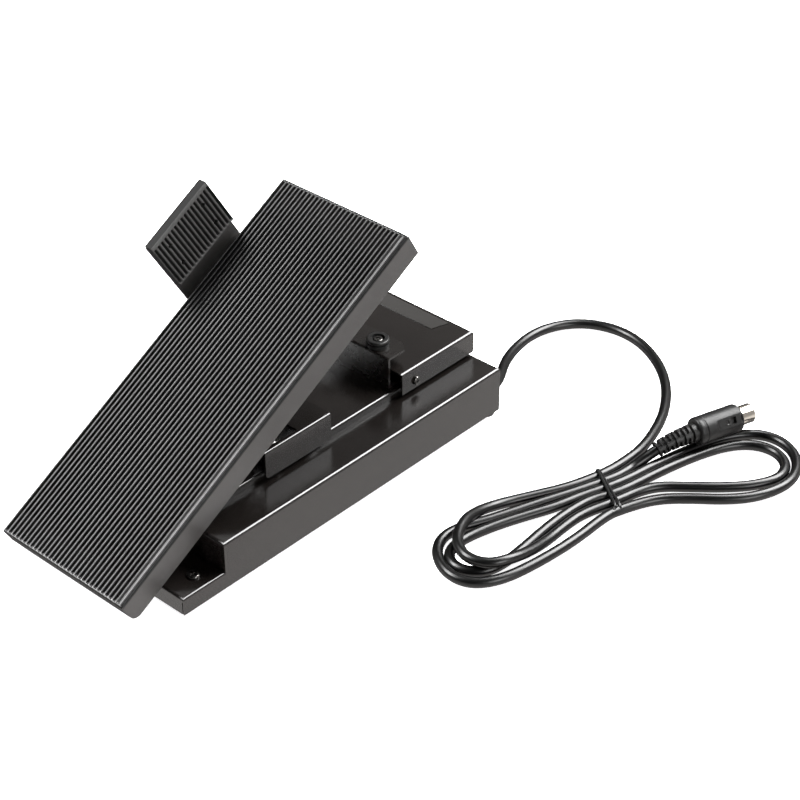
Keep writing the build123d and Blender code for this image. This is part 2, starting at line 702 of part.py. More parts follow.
with BuildPart() as kick_pad_screws:
    spot = kick_face.offset(-KICK_THICKNESS - KICK_SHEET)
    for place in KICK_HOLES:
        add(rod(spot, KICK_HOLE_R, KICK_THICKNESS + KICK_SHEET - 1.6, place))
        add(rod(spot.offset(-1.4), 3.0, 1.4, place))
save(kick_pad_screws, "kick_pad_screws")


def cross_point(height, depth):
    """Point (x, m) of the kick face's own section, from its height and depth."""
    return (
        KICK_X - height * math.sin(lean) - depth * math.cos(lean),
        KICK_RISE + height * math.cos(lean) - depth * math.sin(lean),
    )


arm_section = Plane(
    origin=along_treadle(0, KICK_START, 0), x_dir=treadle.x_dir, z_dir=-treadle.y_dir
)
LEG_TOP = LEG_UNDER + KICK_SHEET
plate_inner = cross_point(KICK_HEIGHT - 3, KICK_THICKNESS)
plate_outer = cross_point(KICK_HEIGHT - 3, KICK_THICKNESS + KICK_SHEET)
inner_foot_x = plate_inner[0] + (plate_inner[1] - LEG_TOP) * math.tan(lean)
outer_foot_x = plate_outer[0] + (plate_outer[1] - LEG_UNDER) * math.tan(lean)

with BuildPart() as kick_arm:
    with BuildSketch(arm_section):
        with BuildLine():
            Polyline(
                plate_inner,
                plate_outer,
                (outer_foot_x, LEG_UNDER),
                (-11.5, LEG_UNDER),
                (-11.5, LEG_TOP),
                (inner_foot_x, LEG_TOP),
                close=True,
            )
        make_face()
    extrude(amount=-KICK_LENGTH)
    # The leg narrows to a tongue where it passes over the pivot towards the switch
    tongue = (SWITCH_START - 4, SWITCH_START + 4)
    add(slab((-24, -5), (KICK_START - 1, tongue[0]), (-30, -18), treadle), mode=Mode.SUBTRACT)
    add(slab((-24, -5), (tongue[1], 260), (-30, -18), treadle), mode=Mode.SUBTRACT)
    for tab_s in (199.0, 237.0):
        tab_plane = arm_section.offset(KICK_START - tab_s)
        with BuildSketch(tab_plane):
            with BuildLine():
                Polyline(
                    (PIN_X - 5, PIN_DEPTH),
                    (PIN_X - 5, LEG_TOP),
                    (PIN_X + 5, LEG_TOP),
                    (PIN_X + 5, PIN_DEPTH),
                    close=True,
                )
            make_face()
            with Locations((PIN_X, PIN_DEPTH)):
                Circle(5.0)
                Circle(PIN_R + RUNNING_GAP, mode=Mode.SUBTRACT)
        extrude(amount=-2.0)
    for place in KICK_HOLES:
        add(rod(kick_face.offset(-12), KICK_HOLE_R, 14, place), mode=Mode.SUBTRACT)
save(kick_arm, "kick_arm")

with BuildPart() as kick_hinge_bracket:
    add(slab((-42, -20), (194.5, 243.5), (PAN_UNDER - 1.5, PAN_UNDER), treadle))
    for ear_s in (194.5, 242.0):
        with BuildSketch(arm_section.offset(KICK_START - ear_s)):
            with BuildLine():
                Polyline(
                    (-40, PAN_UNDER),
                    (PIN_X - 4.5, PIN_DEPTH),
                    (PIN_X + 4.5, PIN_DEPTH),
                    (-22, PAN_UNDER),
                    close=True,
                )
            make_face()
            with Locations((PIN_X, PIN_DEPTH)):
                Circle(4.5)
                Circle(PIN_R, mode=Mode.SUBTRACT)
        extrude(amount=-1.5)
save(kick_hinge_bracket, "kick_hinge_bracket")

with BuildPart() as kick_hinge_pin:
    pin_plane = arm_section.offset(KICK_START - 193.5)
    with BuildSketch(pin_plane):
        with Locations((PIN_X, PIN_DEPTH)):
            Circle(PIN_R)
    extrude(amount=-51)
    with BuildSketch(pin_plane.offset(1.2)):
        with Locations((PIN_X, PIN_DEPTH)):
            Circle(3.2)
    extrude(amount=-2.2)
save(kick_hinge_pin, "kick_hinge_pin")

with BuildPart() as kick_spring:
    with BuildSketch(arm_section.offset(KICK_START - 222.0)):
        with Locations((PIN_X, PIN_DEPTH)):
            Circle(3.2)
            Circle(PIN_R, mode=Mode.SUBTRACT)
    extrude(amount=-12)
    add(slab((PIN_X - 3.2, PIN_X - 2.2), (222, 223), (PIN_DEPTH, PAN_UNDER - 1.5), treadle))
    add(slab((PIN_X - 10, PIN_X), (233, 234), (PIN_DEPTH - 3.2, PIN_DEPTH - 2.2), treadle))
save(kick_spring, "kick_spring")

with BuildPart() as switch_body:
    switch_x = (SWITCH_X - 3.2, SWITCH_X + 3.2)
    switch_s = (SWITCH_START - 10, SWITCH_START + 10)
    add(slab(switch_x, switch_s, (-16, -5.2), treadle))
    plunger_plane = Plane(origin=along_treadle(SWITCH_X, SWITCH_START, -17), z_dir=treadle.z_dir)
    add(rod(plunger_plane, 1.6, 8), mode=Mode.SUBTRACT)
save(switch_body, "switch_body")

with BuildPart() as switch_bracket:
    add(slab((-19.5, 4), (SWITCH_START - 11, SWITCH_START + 11), (-5.2, PAN_UNDER), treadle))
    add(slab((SWITCH_X + 3.2, SWITCH_X + 4.7), switch_s, (-15, -5.2), treadle))
save(switch_bracket, "switch_bracket")

with BuildPart() as switch_plunger:
    tip_plane = plunger_plane.offset(-4.0 + 0.3)
    add(rod(tip_plane, 1.5, 8.0))
    fillet(switch_plunger.faces().sort_by(Axis(tip_plane.origin, treadle.z_dir))[0].edges(), 0.6)
save(switch_plunger, "switch_plunger")

# ---------------------------------------------------------------- cord inside the base

with BuildPart() as cord_grommet:
    with BuildSketch(Plane.XZ.offset(-REAR_Y - 3)):
        with Locations((EXIT_X, EXIT_Z)):
            Circle(6.5)
            Circle(CORD_R, mode=Mode.SUBTRACT)
    extrude(amount=3)
    with BuildSketch(Plane.XZ.offset(-REAR_Y)):
        with Locations((EXIT_X, EXIT_Z)):
            Circle(5.0)
            Circle(CORD_R, mode=Mode.SUBTRACT)
    extrude(amount=SHEET)
    with BuildSketch(Plane.XZ.offset(-REAR_Y + SHEET)):
        with Locations((EXIT_X, EXIT_Z)):
            Circle(6.5)
            Circle(CORD_R, mode=Mode.SUBTRACT)
    extrude(amount=1.5)
save(cord_grommet, "cord_grommet")

with BuildPart() as cord_clamp:
    add(slab((EXIT_X - 7, EXIT_X + 7), (126, 134), (SHEET, EXIT_Z + 5)))
    add(rod(Plane.XZ.offset(-140), CORD_R, 20, (EXIT_X, EXIT_Z)), mode=Mode.SUBTRACT)
save(cord_clamp, "cord_clamp")

with BuildPart() as board_spacers:
    with BuildSketch(Plane.XY.offset(SHEET - PANEL_DROP)):
        with Locations((26, 96), (26, 118), (48, 96), (48, 118)):
            Circle(2.5)
    extrude(amount=SPACER_HEIGHT)
save(board_spacers, "board_spacers")

with BuildPart() as terminal_board:
    board_z = SHEET - PANEL_DROP + SPACER_HEIGHT
    add(slab((22, 52), (92, 122), (board_z, board_z + 1.6)))
    for pad in range(5):
        pad_x = 27 + 4.5 * pad
        add(slab((pad_x, pad_x + 2), (104, 110), (board_z + 1.6, board_z + 4)))
save(terminal_board, "terminal_board")

# ---------------------------------------------------------------- cord and plug


def bend_radii(corners, first=None):
    """Bend radius at each inner corner: 0.45 of the shorter run beside it over tan(half turn)."""
    radii = []
    for before, here, after in zip(corners, corners[1:], corners[2:]):
        arriving = Vector(here) - Vector(before)
        leaving = Vector(after) - Vector(here)
        half_turn = math.radians(arriving.get_angle(leaving)) / 2
        radii.append(0.45 * min(arriving.length, leaving.length) / math.tan(half_turn))
    if first is not None:
        radii[0] = first
    return radii


def cord_tube(corners, radii):
    """Round tube that follows a route, and the length of that route."""
    with BuildLine() as route:
        FilletPolyline(*corners, radius=radii)
    path = route.wire()
    with BuildPart() as tube:
        with BuildSketch(Plane(origin=path @ 0, z_dir=path % 0)):
            Circle(CORD_R)
        sweep(path=path)
    return tube.part, path.length


lead_radii = bend_radii(LEAD_CORNERS, EXIT_BEND)
lead_solid, lead_length = cord_tube(LEAD_CORNERS, lead_radii)
with BuildPart() as cord_lead:
    add(lead_solid)
save(cord_lead, "cord_lead")

tail_radii = bend_radii(TAIL_CORNERS)
tail_solid, tail_length = cord_tube(TAIL_CORNERS, tail_radii)
with BuildPart() as cord_tail:
    add(tail_solid)
save(cord_tail, "cord_tail")

with BuildPart() as cord_hank:
    with BuildSketch(Plane.XY.offset(HANK_Z[0])):
        with BuildLine():
            low_lobe = Spline(
                (161.5, 126.3), (146, 84), (133.5, 46), (133, 14), (155, -10), (181, -8.5),
                (199.5, 36), (202, 72), (197.7, 100.9),
            )
            waist_right = Line(low_lobe @ 1, (201.2, 105.8))
            high_lobe = Spline(
                waist_right @ 1, (222, 141), (248, 162), (265, 196), (252, 235), (226, 242),
                (199, 212), (187, 165), (182, HANK_WALL_Y),
            )
            Polyline(high_lobe @ 1, (165, HANK_WALL_Y), low_lobe @ 0)
        make_face()
    extrude(amount=HANK_Z[1] - HANK_Z[0])
save(cord_hank, "cord_hank")

TIE_CENTRE = (183.6, 119.2)
TIE_AXIS = (0.818, -0.575)
TIE_HALF = 20.5
tie_plane = Plane(origin=(TIE_CENTRE[0], TIE_CENTRE[1], 0), x_dir=(TIE_AXIS[0], TIE_AXIS[1], 0))
with BuildPart() as hank_tie:
    add(slab((-TIE_HALF, TIE_HALF), (-1.6, 1.6), (HANK_Z[1], HANK_Z[1] + 1), tie_plane))
save(hank_tie, "hank_tie")

aim = Vector(*PLUG_AIM).normalized()
plug_plane = Plane(origin=PLUG_BODY_START, x_dir=(0, 0, 1), z_dir=aim)
with BuildPart() as plug_strain_relief:
    with BuildLine() as relief_line:
        arriving = Vector(*TAIL_CORNERS[2]) - Vector(*TAIL_CORNERS[1])
        Spline(TAIL_CORNERS[2], PLUG_BODY_START, tangents=(arriving.normalized(), aim))
    relief_path = relief_line.wire()
    with BuildSketch(Plane(origin=relief_path @ 0, z_dir=relief_path % 0)):
        Circle(RELIEF_START_R)
    with BuildSketch(Plane(origin=relief_path @ 1, z_dir=relief_path % 1)):
        Circle(RELIEF_END_R)
    sweep(path=relief_path, multisection=True)
save(plug_strain_relief, "plug_strain_relief")

with BuildPart() as plug_body:
    add(rod(plug_plane, PLUG_BODY_R, PLUG_BODY_LENGTH))
    fillet(plug_body.edges().filter_by(GeomType.CIRCLE), 2.0)
    neck_plane = plug_plane.offset(PLUG_BODY_LENGTH - NECK_LENGTH)
    add(rod(neck_plane, NECK_R, NECK_LENGTH + 1), mode=Mode.SUBTRACT)
save(plug_body, "plug_body")

with BuildPart() as plug_shell:
    add(rod(neck_plane, NECK_R, NECK_LENGTH))
    add(rod(plug_plane.offset(PLUG_BODY_LENGTH), SHELL_R, SHELL_LENGTH))
    insert_plane = neck_plane.offset(4)
    add(rod(insert_plane, NECK_R - 0.5, NECK_LENGTH + SHELL_LENGTH), mode=Mode.SUBTRACT)
    add(
        rod(plug_plane.offset(PLUG_BODY_LENGTH + 0.6), SHELL_R - 0.5, SHELL_LENGTH),
        mode=Mode.SUBTRACT,
    )
save(plug_shell, "plug_shell")

with BuildPart() as plug_insert:
    add(rod(insert_plane, NECK_R - 0.5, 4.4))
save(plug_insert, "plug_insert")

with BuildPart() as plug_pins:
    for number in range(5):
        spread = math.radians(-90 + 45 * number)
        with BuildSketch(insert_plane.offset(4.4)):
            with Locations((3.6 * math.cos(spread), 3.6 * math.sin(spread))):
                Circle(0.75)
        extrude(amount=6.8)
save(plug_pins, "plug_pins")

section = math.pi * CORD_R**2
for name, tube, length in (
    ("lead", cord_lead.part, lead_length),
    ("tail", cord_tail.part, tail_length),
):
    print(f"cord {name}: length {length:.1f} mm, volume over section x length", end=" ")
    print(f"{tube.volume / (section * length):.4f}")
print("lead bend radii", [round(radius, 1) for radius in lead_radii])
print("tail bend radii", [round(radius, 1) for radius in tail_radii])
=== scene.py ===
"""Looks of the organ expression pedal with a kick switch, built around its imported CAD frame."""

import json
import math

import bpy
from mathutils import Matrix, Vector


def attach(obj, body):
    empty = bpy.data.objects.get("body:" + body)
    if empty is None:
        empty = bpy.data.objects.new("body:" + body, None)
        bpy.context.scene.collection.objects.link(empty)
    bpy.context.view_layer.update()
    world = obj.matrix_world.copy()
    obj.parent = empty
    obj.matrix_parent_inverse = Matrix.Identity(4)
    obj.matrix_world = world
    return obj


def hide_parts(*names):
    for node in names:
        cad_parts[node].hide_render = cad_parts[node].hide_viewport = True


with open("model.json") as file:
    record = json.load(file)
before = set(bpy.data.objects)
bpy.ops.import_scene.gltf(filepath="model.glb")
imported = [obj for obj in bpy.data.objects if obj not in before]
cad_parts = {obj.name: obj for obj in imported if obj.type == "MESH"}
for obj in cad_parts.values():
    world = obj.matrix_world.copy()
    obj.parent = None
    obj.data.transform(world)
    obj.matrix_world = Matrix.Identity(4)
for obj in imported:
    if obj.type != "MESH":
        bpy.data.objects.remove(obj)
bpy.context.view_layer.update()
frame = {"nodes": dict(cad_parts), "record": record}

MM = 0.001
# Height of the rubber feet's undersides, in millimetres
FLOOR_Z = -2.0

# ------------------------------------------------------------------ camera, floor and light

CAMERA_AZIMUTH = math.radians(42.33)
CAMERA_ELEVATION = math.radians(34.7)
CAMERA_DISTANCE = 1448.6 * MM
CAMERA_TARGET = Vector((13.9, 108.0, 0.0)) * MM
CAMERA_LENS = 95.57
CAMERA_SENSOR = 36
CAMERA_CLIP = (0.05, 50)

# The point that every softbox looks at, in metres
LIGHT_TARGET = Vector((0.05, 0.05, 0.03))
# Name, the direction it stands in, the direction of its long side, distance, size and radiance
SOFTBOXES = (
    ("key_right_back", (0.2, 0.608, 0.768), (-0.967, 0, 0.252), 2.0, (1.6, 0.9), 24),
    ("mat_light", (-0.571, -0.39, 0.722), (0, 0.867, 0.4985), 2.2, (1.6, 0.6), 26),
    ("strip_left_front", (-0.553, -0.568, 0.607), (0.7, -0.7, 0), 2.2, (0.9, 0.3), 9),
    ("fill_right", (0.93, -0.1, 0.35), (0, 1, 0), 2.2, (0.9, 0.9), 8),
)

WORLD_TINT = (1.0, 0.965, 0.94, 1)
# Strength of the surround below the horizon
WORLD_BELOW = 1.2
# A direction, the two cosines with it that a gradient runs between, and its values there
WORLD_HEIGHT = ((0, 0, 1), -0.25, 0.25, (0.0, 1.0))
WORLD_ABOVE = ((0.395, 0.82, -0.419), -0.10, 0.14, (0.01, 0.37))
WORLD_CARD = ((-0.553, 0.608, -0.569), 0.50, 0.78, (1.0, 0.02))

FLOOR_SIZE = 60
FLOOR_CLEARANCE = 0.0001
FLOOR_GREY = 0.93
FLOOR_ROUGHNESS = 0.9
FLOOR_GLOW = 0.95

# Numbers of the Mix node's sockets, which bear the same names for every kind of data
MIX_FACTOR, MIX_NUMBER_A, MIX_NUMBER_B, MIX_COLOUR_A, MIX_COLOUR_B = 0, 2, 3, 6, 7
MIX_NUMBER_OUT, MIX_COLOUR_OUT = 0, 2


def direction(azimuth, elevation):
    """Unit vector from the object towards something seen at that azimuth and elevation."""
    flat = math.cos(elevation)
    return Vector((math.sin(azimuth) * flat, -math.cos(azimuth) * flat, math.sin(elevation)))


def make_camera():
    """Camera that looks down on the pedal from its heel end and right side."""
    data = bpy.data.cameras.new("camera")
    data.lens = CAMERA_LENS
    data.sensor_width = CAMERA_SENSOR
    data.clip_start, data.clip_end = CAMERA_CLIP
    camera = bpy.data.objects.new("camera", data)
    bpy.context.scene.collection.objects.link(camera)
    back = direction(CAMERA_AZIMUTH, CAMERA_ELEVATION)
    camera.location = CAMERA_TARGET + back * CAMERA_DISTANCE
    camera.rotation_euler = (-back).to_track_quat("-Z", "Y").to_euler()
    bpy.context.scene.camera = camera


def make_softbox(name, towards, along, distance, size, radiance):
    """Rectangular area light that looks at the object, with its longer side along a direction."""
    data = bpy.data.lights.new(name, "AREA")
    data.shape = "RECTANGLE"
    data.size, data.size_y = size
    data.energy = radiance * math.pi * size[0] * size[1]
    light = bpy.data.objects.new(name, data)
    bpy.context.scene.collection.objects.link(light)
    back = Vector(towards).normalized()
    wide = (Vector(along) - back * back.dot(Vector(along))).normalized()
    turn = Matrix((wide, back.cross(wide), back)).transposed().to_4x4()
    turn.translation = LIGHT_TARGET + back * distance
    light.matrix_world = turn


def make_world():
    """Pale surround: bright below, fading above towards the left front, and dark low behind."""
    world = bpy.data.worlds.new("studio")
    world.use_nodes = True
    tree = world.node_tree
    place = tree.nodes.new("ShaderNodeTexCoord").outputs["Generated"]

    def gradient(towards, low, high, values):
        """Number that goes between two values as the direction turns towards one."""
        dot = tree.nodes.new("ShaderNodeVectorMath")
        dot.operation = "DOT_PRODUCT"
        tree.links.new(place, dot.inputs[0])
        dot.inputs[1].default_value = Vector(towards).normalized()
        ramp = tree.nodes.new("ShaderNodeMapRange")
        ramp.interpolation_type = "SMOOTHSTEP"
        ramp.inputs["From Min"].default_value = low
        ramp.inputs["From Max"].default_value = high
        ramp.inputs["To Min"].default_value = values[0]
        ramp.inputs["To Max"].default_value = values[1]
        tree.links.new(dot.outputs["Value"], ramp.inputs["Value"])
        return ramp.outputs["Result"]

    blend = tree.nodes.new("ShaderNodeMix")
    blend.data_type = "FLOAT"
    tree.links.new(gradient(*WORLD_HEIGHT), blend.inputs[MIX_FACTOR])
    blend.inputs[MIX_NUMBER_A].default_value = WORLD_BELOW
    tree.links.new(gradient(*WORLD_ABOVE), blend.inputs[MIX_NUMBER_B])
    product = tree.nodes.new("ShaderNodeMath")
    product.operation = "MULTIPLY"
    tree.links.new(blend.outputs[MIX_NUMBER_OUT], product.inputs[0])
    tree.links.new(gradient(*WORLD_CARD), product.inputs[1])
    background = tree.nodes["Background"]
    background.inputs["Color"].default_value = WORLD_TINT
    tree.links.new(product.outputs[0], background.inputs["Strength"])
    bpy.context.scene.world = world


def make_floor():
    """Glowing white floor that glossy rays don't see, so it takes no shadow and isn't reflected."""
    height = FLOOR_Z * MM - FLOOR_CLEARANCE
    bpy.ops.mesh.primitive_plane_add(size=FLOOR_SIZE, location=(0, 0, height))
    floor = bpy.context.object
    floor.name = "floor"
    floor.visible_glossy = False
    material = bpy.data.materials.new("pale_floor")
    material.use_nodes = True
    shader = material.node_tree.nodes["Principled BSDF"]
    shader.inputs["Base Color"].default_value = (FLOOR_GREY, FLOOR_GREY, FLOOR_GREY, 1)
    shader.inputs["Roughness"].default_value = FLOOR_ROUGHNESS
    shader.inputs["Emission Color"].default_value = (1, 1, 1, 1)
    shader.inputs["Emission Strength"].default_value = FLOOR_GLOW
    floor.data.materials.append(material)


def make_stage():
    """World, softboxes and floor."""
    bpy.context.scene.view_settings.view_transform = "Standard"
    make_world()
    for softbox in SOFTBOXES:
        make_softbox(*softbox)
    make_floor()


# ------------------------------------------------------------------ treadle and kick pad frames

# Directions of the treadle at rest, and sizes in millimetres
TREADLE_ANGLE = math.radians(29.9)
HEEL = Vector((0, -178.9, 17.6))
ALONG = Vector((0, math.cos(TREADLE_ANGLE), math.sin(TREADLE_ANGLE)))
ABOVE = Vector((0, -math.sin(TREADLE_ANGLE), math.cos(TREADLE_ANGLE)))
ACROSS = Vector((1, 0, 0))


def on_treadle(x, s, m):
    """Point on the treadle: x across, s from the heel end and m above the mat's crests."""
    return HEEL + ACROSS * x + ALONG * s + ABOVE * m


KICK_LEAN = math.radians(4.6)
KICK_START = on_treadle(-62.6, 191.2, 3.2)
KICK_UP = ABOVE * math.cos(KICK_LEAN) - ACROSS * math.sin(KICK_LEAN)
KICK_OUT = ACROSS * math.cos(KICK_LEAN) + ABOVE * math.sin(KICK_LEAN)


def on_kick_pad(s, up, out):
    """Point on the kick pad: s along it, up its face and out from its crests."""
    return KICK_START + ALONG * s + KICK_UP * up + KICK_OUT * out


# ------------------------------------------------------------------ materials

CLOUD_SCALE = 18.0
STAIN_SCALE = 90.0
CLOUD_DETAIL = 3.0
GRAIN_DETAIL = 4.0
NOISE_ROUGHNESS = 0.55

# The kick pad's rubber: colour of its ribs, lighter than the other black rubber; how much of it is
# left in the grooves, which are darkened as painted shade; and the depth over which that painted
# shade deepens
PAD_LOW = (0.050, 0.049, 0.048)
PAD_HIGH = (0.066, 0.065, 0.064)
PAD_GROOVE_PAINTED_SHADE = 0.10
PAD_PAINTED_SHADE_DEPTH = 1.1 * MM


class Nodes:
    """Short names for building one material's node tree."""

    def __init__(self, name):
        self.material = bpy.data.materials.new(name)
        self.material.use_nodes = True
        self.tree = self.material.node_tree
        self.shader = self.tree.nodes["Principled BSDF"]
        self.place = self.add("ShaderNodeTexCoord").outputs["Object"]

    def add(self, kind, **settings):
        """New node with these settings."""
        node = self.tree.nodes.new(kind)
        for key, value in settings.items():
            setattr(node, key, value)
        return node

    def link(self, output, target):
        """Joins an output to an input."""
        self.tree.links.new(output, target)

    def constant(self, **values):
        """Sets numbers straight on the shader, by socket name with _ for a space."""
        for key, value in values.items():
            self.shader.inputs[key.replace("_", " ")].default_value = value

    def noise(self, scale, detail=CLOUD_DETAIL):
        """Noise in object space, from 0 to 1."""
        node = self.add("ShaderNodeTexNoise")
        node.inputs["Scale"].default_value = scale
        node.inputs["Detail"].default_value = detail
        node.inputs["Roughness"].default_value = NOISE_ROUGHNESS
        self.link(self.place, node.inputs["Vector"])
        return node.outputs["Fac"]

    def ramp(self, factor, low, high, stops=(0.3, 0.7)):
        """Colour that goes from low to high as factor passes the two stops."""
        node = self.add("ShaderNodeValToRGB")
        for element, stop, colour in zip(node.color_ramp.elements, stops, (low, high)):
            element.position = stop
            element.color = (*colour, 1)
        self.link(factor, node.inputs["Fac"])
        return node.outputs["Color"]

    def between(self, factor, low, high):
        """Number that goes from low to high as factor goes from 0 to 1."""
        node = self.add("ShaderNodeMapRange")
        node.inputs["To Min"].default_value = low
        node.inputs["To Max"].default_value = high
        self.link(factor, node.inputs["Value"])
        return node.outputs["Result"]

    def bump(self, height, strength, distance):
        """Tilts the surface's normal by a height."""
        node = self.add("ShaderNodeBump")
        node.inputs["Strength"].default_value = strength
        node.inputs["Distance"].default_value = distance
        self.link(height, node.inputs["Height"])
        self.link(node.outputs["Normal"], self.shader.inputs["Normal"])

    def rough_and_grained(self, roughness, grain, bump):
        """Clouded roughness between two values, and a fine bumpy grain."""
        self.link(self.between(self.noise(STAIN_SCALE), *roughness), self.shader.inputs["Roughness"])
        self.bump(self.noise(grain, GRAIN_DETAIL), *bump)


def surface(name, low, high, roughness, grain, bump, **constants):
    """Material with clouded colour and roughness and a fine bumpy grain."""
    n = Nodes(name)
    n.link(n.ramp(n.noise(CLOUD_SCALE), low, high), n.shader.inputs["Base Color"])
    n.rough_and_grained(roughness, grain, bump)
    n.constant(**constants)
    return n.material


def make_pad_rubber():
    """Ribs lighter than the other black rubber and grooves blackened as painted shade: the colour
    darkens with depth below the pad's face.
    """
    n = Nodes("pad_rubber")
    dot = n.add("ShaderNodeVectorMath", operation="DOT_PRODUCT")
    n.link(n.place, dot.inputs[0])
    dot.inputs[1].default_value = KICK_OUT
    # Painted shade: the colour falls to a tenth of itself at the bottom of the grooves
    depth = n.add("ShaderNodeMapRange", interpolation_type="SMOOTHSTEP")
    face = KICK_START.dot(KICK_OUT) * MM
    depth.inputs["From Min"].default_value = face - PAD_PAINTED_SHADE_DEPTH
    depth.inputs["From Max"].default_value = face
    n.link(dot.outputs["Value"], depth.inputs["Value"])
    painted_groove_shade = n.ramp(depth.outputs["Result"], (PAD_GROOVE_PAINTED_SHADE,) * 3, (1, 1, 1), (0.0, 1.0))
    mix = n.add("ShaderNodeMix", data_type="RGBA", blend_type="MULTIPLY")
    mix.inputs[MIX_FACTOR].default_value = 1.0
    n.link(painted_groove_shade, mix.inputs[MIX_COLOUR_A])
    n.link(n.ramp(n.noise(CLOUD_SCALE), PAD_LOW, PAD_HIGH), mix.inputs[MIX_COLOUR_B])
    n.link(mix.outputs[MIX_COLOUR_OUT], n.shader.inputs["Base Color"])
    n.rough_and_grained((0.50, 0.62), 1300, (0.12, 0.0002))
    n.constant(Specular_IOR_Level=0.15)
    return n.material


def make_materials():
    """Materials by slot, and pad_rubber, which only the kick pad wears and whose grooves are
    darkened as painted shade.
    """
    return {
        "black_steel": surface(
            "black_enamel", (0.0045, 0.0036, 0.0032), (0.007, 0.0058, 0.0052),
            roughness=(0.17, 0.25), grain=900, bump=(0.06, 0.0002), IOR=1.56,
        ),
        "treadle_steel": surface(
            "textured_enamel", (0.020, 0.0185, 0.018), (0.028, 0.026, 0.0252),
            roughness=(0.36, 0.46), grain=2200, bump=(0.25, 0.0002), IOR=1.66,
        ),
        "zinc_steel": surface(
            "bracket_enamel", (0.005, 0.0042, 0.0038), (0.008, 0.0068, 0.006),
            roughness=(0.22, 0.32), grain=900, bump=(0.06, 0.0002), IOR=1.56,
        ),
        "bright_steel": surface(
            "plated_steel", (0.50, 0.50, 0.49), (0.60, 0.60, 0.59),
            roughness=(0.22, 0.34), grain=1500, bump=(0.05, 0.0001), Metallic=1.0,
        ),
        "black_screws": surface(
            "blackened_screws", (0.085, 0.083, 0.080), (0.13, 0.127, 0.122),
            roughness=(0.20, 0.30), grain=1500, bump=(0.05, 0.0001), Metallic=1.0,
        ),
        "black_rubber": surface(
            "moulded_rubber", (0.0035, 0.0035, 0.0034), (0.006, 0.0059, 0.0058),
            roughness=(0.36, 0.48), grain=1300, bump=(0.12, 0.0002), IOR=1.45,
        ),
        "pad_rubber": make_pad_rubber(),
        "ribbed_mat": surface(
            "ribbed_rubber", (0.0010, 0.0010, 0.0010), (0.0022, 0.0021, 0.0020),
            roughness=(0.25, 0.33), grain=1300, bump=(0.03, 0.0002),
        ),
        "moulded_plastic": surface(
            "moulded_plastic", (0.0025, 0.0025, 0.0024), (0.0045, 0.0044, 0.0043),
            roughness=(0.38, 0.48), grain=1800, bump=(0.15, 0.0002), IOR=1.41,
        ),
        "light_plastic": surface(
            "natural_nylon", (0.62, 0.60, 0.54), (0.72, 0.70, 0.64),
            roughness=(0.34, 0.46), grain=1200, bump=(0.08, 0.0002),
        ),
        "brass_parts": surface(
            "plated_pins", (0.62, 0.50, 0.30), (0.74, 0.62, 0.38),
            roughness=(0.18, 0.28), grain=1500, bump=(0.05, 0.0001), Metallic=1.0,
        ),
        "nickel": surface(
            "nickel_plate", (0.60, 0.56, 0.50), (0.72, 0.68, 0.62),
            roughness=(0.14, 0.24), grain=1500, bump=(0.05, 0.0001), Metallic=1.0,
        ),
        "circuit_board": surface(
            "phenolic_board", (0.30, 0.17, 0.07), (0.40, 0.24, 0.10),
            roughness=(0.40, 0.55), grain=900, bump=(0.06, 0.0002),
        ),
        "badge": surface(
            "dark_badge", (0.020, 0.019, 0.018), (0.028, 0.027, 0.026),
            roughness=(0.24, 0.34), grain=1500, bump=(0.05, 0.0001),
        ),
        "cord_jacket": surface(
            "cord_jacket", (0.001, 0.001, 0.001), (0.002, 0.002, 0.002),
            roughness=(0.26, 0.34), grain=1300, bump=(0.06, 0.0002), IOR=1.46,
        ),
        "wire_tie": surface(
            "wire_tie", (0.005, 0.005, 0.005), (0.009, 0.009, 0.009),
            roughness=(0.26, 0.36), grain=1300, bump=(0.08, 0.0002),
        ),
    }


# Folded sheet metal gets the small radius of its bends, in millimetres
BEVELS = {
    "treadle_pan": 0.7, "pivot_cover": 0.5, "toe_stop_bracket": 0.4, "kick_arm": 0.5,
    "rear_box": 0.4, "center_deck": 0.3, "main_housing": 0.3, "front_tray": 0.3,
    "hinge_bracket": 0.3,
}
BEVEL_SEGMENTS = 3
BEVEL_ANGLE = math.radians(40)


def paint_nodes(materials):
    """Gives every CAD node the material of its slot, and softens the folded edges."""
    for entry in frame["record"]["subparts"]:
        node = frame["nodes"][entry["node"]]
        node.data.materials.clear()
        node.data.materials.append(materials[entry["material_slot"]])
        width = BEVELS.get(entry["node"])
        if width:
            bevel = node.modifiers.new("fold_radius", "BEVEL")
            bevel.width = width * MM
            bevel.segments = BEVEL_SEGMENTS
            bevel.limit_method = "ANGLE"
            bevel.angle_limit = BEVEL_ANGLE


# ------------------------------------------------------------------ mesh and curve helpers


def mesh_piece(name, corners, faces, body, slot, materials, sharp, look=None):
    """Object made from corners in millimetres, smooth except where it turns sharply.

    It wears its slot's material, or the one named as its look."""
    mesh = bpy.data.meshes.new(name)
    mesh.from_pydata([Vector(corner) * MM for corner in corners], [], faces)
    mesh.validate()
    for polygon in mesh.polygons:
        polygon.use_smooth = True
    mesh.set_sharp_from_angle(angle=math.radians(sharp))
    mesh.materials.append(materials[look or slot])
    piece = bpy.data.objects.new(name, mesh)
    bpy.context.scene.collection.objects.link(piece)
    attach(piece, body)
    return piece


